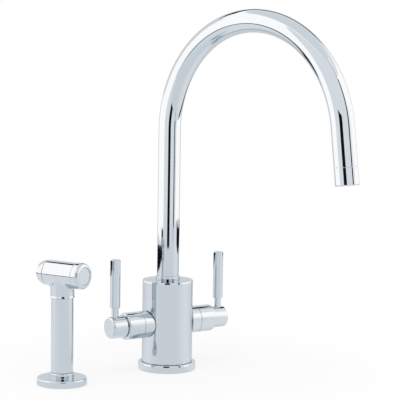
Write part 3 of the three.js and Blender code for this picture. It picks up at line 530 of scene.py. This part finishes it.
tube_radius, tube_wall = 10.95, 1.9
tube_foot, tube_spring, arch_radius, leg_length = 93.9, 238.5, 106.5, 36
bend = math.radians(172.8)
bm = bmesh.new()
bmesh.ops.create_circle(bm, cap_ends=False, segments=72, radius=tube_radius)
bmesh.ops.translate(bm, vec=(0, 0, tube_foot), verts=bm.verts)
ring, verts = drawn(bm, bm.edges[:])
bmesh.ops.translate(bm, vec=(0, 0, tube_spring - tube_foot), verts=verts)
bent = bmesh.ops.spin(
    bm,
    geom=ring + verts,
    axis=(1, 0, 0),
    cent=(0, -arch_radius, tube_spring),
    angle=bend,
    steps=120,
)["geom_last"]
downwards = Vector((0, -math.sin(bend), math.cos(bend)))
_, verts = drawn(bm, [part for part in bent if isinstance(part, bmesh.types.BMEdge)])
bmesh.ops.translate(bm, vec=downwards * leg_length, verts=verts)
bmesh.ops.recalc_face_normals(bm, faces=bm.faces)
bmesh.ops.solidify(bm, geom=bm.faces[:], thickness=tube_wall)
made("swan_neck", bm, "chrome", "spout", "spout_tube", spout_turn)

arch_end = (0, arch_radius * (math.cos(bend) - 1), tube_spring + arch_radius * math.sin(bend))
leg_end = Vector(arch_end) + downwards * leg_length
outlet_tilt = Vector((0, 0, 1)).rotation_difference(downwards).to_matrix().to_4x4()
outlet_place = spout_turn @ Matrix.Translation(leg_end) @ outlet_tilt
outlet = [
    (7.25, -6),
    (8.85, -6, 0.3),
    (8.85, 0.3),
    (11.02, 0.3, 0.4),
    (11.02, 17, 1.2),
    (9.6, 17, 0.3),
    (9.5, 4),
    (7.25, 4),
]
made("outlet_ring", turned(outlet), "chrome", "spout", "outlet_collar", outlet_place)

# ---------------------------------------------------------------------- holder
# The side spray stands in a holder of its own: a flange and a short collar, turned in one from
# brass and plated. Its underside is recessed for a rubber seal.
spray_spot = Matrix.Translation((-124.1, -8.2, 0))
holder = [
    (13.2, 0),
    (15.8, 0, 0.2),
    (15.8, 2.2),
    (21.4, 2.2),
    (21.4, 0, 0.2),
    (23.7, 0, 0.4),
    (23.7, 6.9, 1.6),
    (11.6, 6.9, 0.4),
    (11.6, 11.5, 1),
    (10.1, 11.5, 0.2),
    (10.1, 3.6),
    (13.2, 3.6),
]
made("holder", turned(holder, 128), "chrome", "deck_fixed", "spray_flange", spray_spot)

# ---------------------------------------------------------------------- spray handle
# A plated brass tube, necked down to the stub that stands in the holder. The hose's swivel turns
# in its foot.
handle = [
    (6.9, -7.5),
    (8.6, -7.5, 0.5),
    (8.6, 11.6),
    (10.6, 11.6, 0.4),
    (10.6, 83, 0.3),
    (8.2, 83),
    (8.2, 13.9),
    (6.9, 6.8),
]
made("handle", turned(handle), "chrome", "spray", "spray_handle", spray_spot)

# ---------------------------------------------------------------------- spray head
# A cast and polished brass tee, plated: an upright neck, with a narrow skirt where it meets the
# handle, runs out into a level barrel.
barrel_height, barrel_turn = 105.2, math.radians(22.3)
head_place = (
    spray_spot
    @ Matrix.Translation((0, 0, barrel_height))
    @ Matrix.Rotation(barrel_turn, 4, "Z")
)
level = Matrix.Rotation(math.pi / 2, 4, "X")
barrel_radius = 12
barrel = [
    (0, -15.9),
    (barrel_radius, -15.9, 0.6),
    (barrel_radius, 17.9, 0.6),
    (0, 17.9),
]
bm = turned(barrel, 128)
bm.transform(level)

neck_radius, neck_foot, neck_edge = 11.4, -22.1, 0.4
spread_across, spread_along, least_rise = 0.35, 4.4, 2.5
curve_rows = 15


def neck_curve(angle):
    """Where the neck's skin runs at an angle round it: from the straight neck out in a hollow
    curve on to the barrel, as the three points that steer the curve."""
    across, along = abs(math.cos(angle)), abs(math.sin(angle))
    spread = spread_along * along**2 + spread_across
    widest = barrel_radius - 0.2
    reach = min(neck_radius + spread, widest / max(across, 1e-6))
    under = math.sqrt(barrel_radius**2 - (reach * across) ** 2)
    slope = across**2 * reach / under
    knee = -under - slope * (reach - neck_radius)
    return (neck_radius, knee - max(spread, least_rise)), (neck_radius, knee), (reach, -under)


neck = bmesh.new()
bmesh.ops.create_circle(neck, cap_ends=True, segments=128, radius=neck_radius - 0.5)
bmesh.ops.translate(neck, vec=(0, 0, neck_foot), verts=neck.verts)
ring = [edge for edge in neck.edges if edge.is_boundary]
ring, verts = drawn(neck, ring)
for vert in verts:
    angle = math.atan2(vert.co.y, vert.co.x)
    vert.co = neck_radius * math.cos(angle), neck_radius * math.sin(angle), neck_foot + neck_edge
for row in range(curve_rows):
    t = row / (curve_rows - 1)
    ring, verts = drawn(neck, ring)
    for vert in verts:
        angle = math.atan2(vert.co.y, vert.co.x)
        radius, rise = (
            (1 - t) ** 2 * start + 2 * t * (1 - t) * knee + t**2 * end
            for start, knee, end in zip(*neck_curve(angle))
        )
        vert.co = radius * math.cos(angle), radius * math.sin(angle), rise
ring, verts = drawn(neck, ring)
bmesh.ops.scale(neck, vec=(0.9, 0.9, 0.6), verts=verts)
bmesh.ops.holes_fill(neck, edges=ring)
added(bm, neck)
skirt = [(9.8, 0.2), (11.8, 0.2, 0.2), (11.45, 2.1, 0.1), (9.8, 2.1)]
added(bm, turned(skirt, 128), Matrix.Translation((0, 0, neck_foot)))
made("head", bm, "chrome", "spray", "spray_head", head_place)

# ---------------------------------------------------------------------- head's ends
# A turned cap closes the barrel and guides the push button. The nose at the other end holds the
# plate that makes the spray. All three are plated brass.
barrel_place = head_place @ level
cap = [
    (2.3, 11.9),
    (8.7, 11.9),
    (8.7, 18.2),
    (12.5, 18.2, 0.5),
    (12.5, 26.2, 3.3),
    (8.35, 26.2, 0.3),
    (8.35, 19.9),
    (2.3, 19.9),
]
made("end_cap", turned(cap), "chrome", "spray", "spray_end_cap", barrel_place)
button = [(0, 22.7), (8.2, 22.7), (8.2, 25.9, 0.3), (0, 25.9)]
made("push_button", turned(button), "chrome", "spray_trigger", "spray_button", barrel_place)
nose = [
    (1.9, -12),
    (8.7, -12),
    (8.7, -16.2),
    (11.8, -16.2, 0.5),
    (11.8, -18.9),
    (10.55, -22.3, 1),
    (9.3, -24.4, 0.5),
    (7.8, -24.4, 0.2),
    (7.8, -21.9),
    (7, -21.9),
    (7, -14),
    (1.9, -14),
]
made("nose", turned(nose), "chrome", "spray", "spray_nose", barrel_place)


# ---------------------------------------------------------------------- strainers
# The outlet's insert and the spray's plate are moulded discs of acetal with seven holes. Each hole
# of the plate has a soft rim round it, from which lime can be rubbed off.
def plain(name, colour, metallic, rough, grain, relief):
    """An even stuff with a fine grain, whose tone darkens where the grain rises."""
    paint = Paint(bpy.data.materials.new(name))
    noise = paint.node(
        "ShaderNodeTexNoise", sockets={"Vector": paint.point(), "Scale": grain, "Detail": 5.0}
    )
    darker = tuple(0.8 * part for part in colour) + (1,)
    bump = paint.node(
        "ShaderNodeBump", sockets={"Strength": relief, "Distance": 0.0002, "Height": noise}
    )
    return paint.finish(
        paint.node(
            "ShaderNodeBsdfPrincipled",
            sockets={
                "Base Color": paint.blend(noise, (*colour, 1), darker),
                "Metallic": metallic,
                "Roughness": rough + 0.1 * noise,
                "Normal": bump,
            },
        )
    )


def seven_spots(circle):
    """The middle of a disc, and six places round it."""
    return [Matrix()] + [
        Matrix.Rotation(turn * math.pi / 3, 4, "Z") @ Matrix.Translation((circle, 0, 0))
        for turn in range(6)
    ]


def pierced(radius, circle, hole, low, high):
    """A disc with a hole in its middle and six on a circle round it."""
    bm = bmesh.new()
    bmesh.ops.create_circle(bm, cap_ends=False, segments=96, radius=radius)
    for spot in seven_spots(circle):
        bmesh.ops.create_circle(bm, cap_ends=False, segments=24, radius=hole, matrix=spot)
    bmesh.ops.triangle_fill(bm, use_beauty=True, edges=bm.edges[:])
    grown = bmesh.ops.extrude_face_region(bm, geom=bm.faces[:])["geom"]
    upper = [part for part in grown if isinstance(part, bmesh.types.BMVert)]
    bmesh.ops.translate(bm, vec=(0, 0, high - low), verts=upper)
    bmesh.ops.translate(bm, vec=(0, 0, low), verts=bm.verts)
    return bm


finishes["plastic"] = plain("natural acetal", (0.68, 0.68, 0.65), 0.0, 0.4, 300.0, 0.1)
finishes["dark_plastic"] = plain("dark acetal", (0.05, 0.055, 0.06), 0.0, 0.4, 300.0, 0.1)
insert = pierced(radius=9.3, circle=5.4, hole=1.8, low=6.6, high=15.6)
made("strainer", insert, "plastic", "spout", "aerator_insert", outlet_place)
plate_circle, plate_hole = 4.8, 0.7
plate = pierced(radius=7.6, circle=plate_circle, hole=plate_hole, low=-23.6, high=-22.2)
rim = [(plate_hole, -24), (1.3, -24, 0.2), (1.5, -23.5), (plate_hole, -23.5)]
for spot in seven_spots(plate_circle):
    added(plate, turned(rim, 24), spot)
made("spray_plate", plate, "dark_plastic", "spray", "spray_nozzle_plate", barrel_place)


# ---------------------------------------------------------------------- deck fixings
# Turned and threaded brass shanks hang through the deck, from the pillar and from the holder. A
# brass nut on each clamps it from below.
def threaded(core, crest, pitch, low, high):
    """A thread's ridge, wound round the upright axis from low to high."""
    root = core - 0.3
    section = [(root, -0.48), (crest, -0.06), (crest, 0.06), (root, 0.48)]
    bm = bmesh.new()
    points = [bm.verts.new((radius, 0, low + pitch * (0.5 + part))) for radius, part in section]
    for first, second in zip(points, points[1:] + points[:1]):
        bm.edges.new((first, second))
    turns = (high - low) / pitch - 1
    steps = round(32 * turns)
    bmesh.ops.spin(
        bm,
        geom=bm.verts[:] + bm.edges[:],
        axis=(0, 0, 1),
        cent=(0, 0, 0),
        dvec=(0, 0, (high - low - pitch) / steps),
        angle=2 * math.pi * turns,
        steps=steps,
    )
    bmesh.ops.holes_fill(bm, edges=[edge for edge in bm.edges if edge.is_boundary])
    return bm


def hex_nut(across, hole, foot, top):
    """A nut: a turned ring with both its corners bevelled, cut down to six flats."""
    corner, face = across / math.sqrt(3), across * 0.48
    slant = (corner - face) * math.tan(math.radians(30))
    blank = [
        (hole, foot),
        (face, foot),
        (corner, foot + slant),
        (corner, top - slant),
        (face, top),
        (hole, top),
    ]
    bm = turned(blank)
    for turn in range(6):
        angle = math.radians(30 + 60 * turn)
        outwards = Vector((math.cos(angle), math.sin(angle), 0))
        cut = bmesh.ops.bisect_plane(
            bm,
            geom=bm.verts[:] + bm.edges[:] + bm.faces[:],
            plane_co=outwards * across / 2,
            plane_no=outwards,
            clear_outer=True,
        )["geom_cut"]
        flat = [part for part in cut if isinstance(part, bmesh.types.BMEdge)]
        bmesh.ops.holes_fill(bm, edges=flat)
    return bm


finishes["brass"] = plain("machined brass", (0.72, 0.53, 0.25), 1.0, 0.26, 700.0, 0.05)

shank = [
    (13.5, -56, 0.4),
    (15.5, -56, 0.6),
    (15.5, -2),
    (16.4, -2),
    (16.4, 13.8, 0.4),
    (13.5, 13.8),
]
bm = turned(shank)
added(bm, threaded(core=15.5, crest=16.5, pitch=2, low=-55.5, high=-2))
made("shank", bm, "brass", "deck_fixed", "mixer_shank")
spray_shank = [
    (10.1, -50, 0.4),
    (12.1, -50, 0.5),
    (12.1, -2),
    (12.9, -2),
    (12.9, 3.5, 0.3),
    (10.1, 3.5),
]
bm = turned(spray_shank)
added(bm, threaded(core=12.1, crest=13, pitch=1.8, low=-49.5, high=-2))
made("spray_thread", bm, "brass", "deck_fixed", "spray_shank", spray_spot)
nut = hex_nut(across=46, hole=16.7, foot=-44, top=-35)
made("nut", nut, "brass", "deck_fixed", "mixer_backnut")
nut = hex_nut(across=36, hole=13.2, foot=-39, top=-32)
made("spray_nut", nut, "brass", "deck_fixed", "spray_backnut", spray_spot)

# ---------------------------------------------------------------------- hose ends
# The spray's hose screws on brass at both its ends: a threaded tail in the body's front port, and a
# threaded nipple that turns in the foot of the handle.
tail = [
    (2.2, -11.3, 0.2),
    (3, -11.3, 0.3),
    (3, 8.7),
    (4.8, 8.7, 0.4),
    (4.8, 13.7),
    (4.4, 13.7),
    (4.4, 24.7, 0.4),
    (2.2, 24.7),
]
front_port = Matrix.Translation((0, -8.3, 0))
bm = turned(tail, 48)
added(bm, threaded(core=3, crest=3.6, pitch=1, low=-11, high=8.7))
made("hose_tail", bm, "brass", "deck_fixed", "spray_hose_tail", front_port)
nipple = [
    (3.4, -25.2, 0.2),
    (6.5, -25.2, 0.5),
    (6.5, -10.2),
    (8.4, -10.2, 0.3),
    (8.4, -7.6, 0.3),
    (6.6, -7.6),
    (6.6, -3.9),
    (5, -3.9),
    (5, -1.7),
    (6.6, -1.7),
    (6.6, 3.9),
    (5.7, 3.9),
    (5.7, 5.1),
    (6.6, 5.1),
    (6.6, 6.5, 0.4),
    (3.4, 6.5, 0.2),
]
bm = turned(nipple)
added(bm, threaded(core=6.5, crest=7.4, pitch=1.5, low=-24.8, high=-10.3))
made("hose_swivel", bm, "brass", "spray_tail", "spray_swivel_nipple", spray_spot)

# ---------------------------------------------------------------------- washers and seals
# Stamped steel washers lie between the nuts and the deck, the mixer's on a rubber ring. Moulded
# rubber rings seal both flanges on its top, and an acetal bush lines the spray's holder.
finishes["steel"] = plain("stainless steel", (0.56, 0.57, 0.58), 1.0, 0.3, 800.0, 0.05)
finishes["rubber"] = plain("black rubber", (0.02, 0.02, 0.022), 0.0, 0.65, 1200.0, 0.3)
for name, node, slot, spot, (inner, outer, foot, top, edge) in (
    ("clamp_ring", "steel_washer", "steel", Matrix(), (16.7, 27, -35, -33, 0.3)),
    ("soft_ring", "rubber_washer", "rubber", Matrix(), (16.7, 27, -33, -30, 0.6)),
    ("seal_ring", "base_seal", "rubber", Matrix(), (19.7, 25.8, 0, 2.3, 0.5)),
    ("spray_ring", "spray_steel_washer", "steel", spray_spot, (13.2, 22, -32, -30, 0.3)),
    ("spray_seal_ring", "spray_seal", "rubber", spray_spot, (16, 21.2, 0, 2.1, 0.5)),
    ("bush", "spray_bush", "dark_plastic", spray_spot, (8.9, 9.9, -14, 11.4, 0.2)),
):
    ring = [(inner, foot, edge), (outer, foot, edge), (outer, top, edge), (inner, top, edge)]
    made(name, turned(ring), slot, "deck_fixed", node, spot)

# ---------------------------------------------------------------------- inner parts
# Valves, spindles, springs, screws and seals, of brass, steel, ceramic, acetal and rubber. They
# show only when the tap is taken apart, so their solids stay, each in its own finish.
finishes["ceramic"] = plain("alumina", (0.85, 0.84, 0.8), 0.0, 0.25, 500.0, 0.0)
for part in frame["record"]["subparts"]:
    node = frame["nodes"][part["node"]]
    if not node.hide_render:
        node.data.materials.clear()
        node.data.materials.append(finishes[part["material_slot"]])
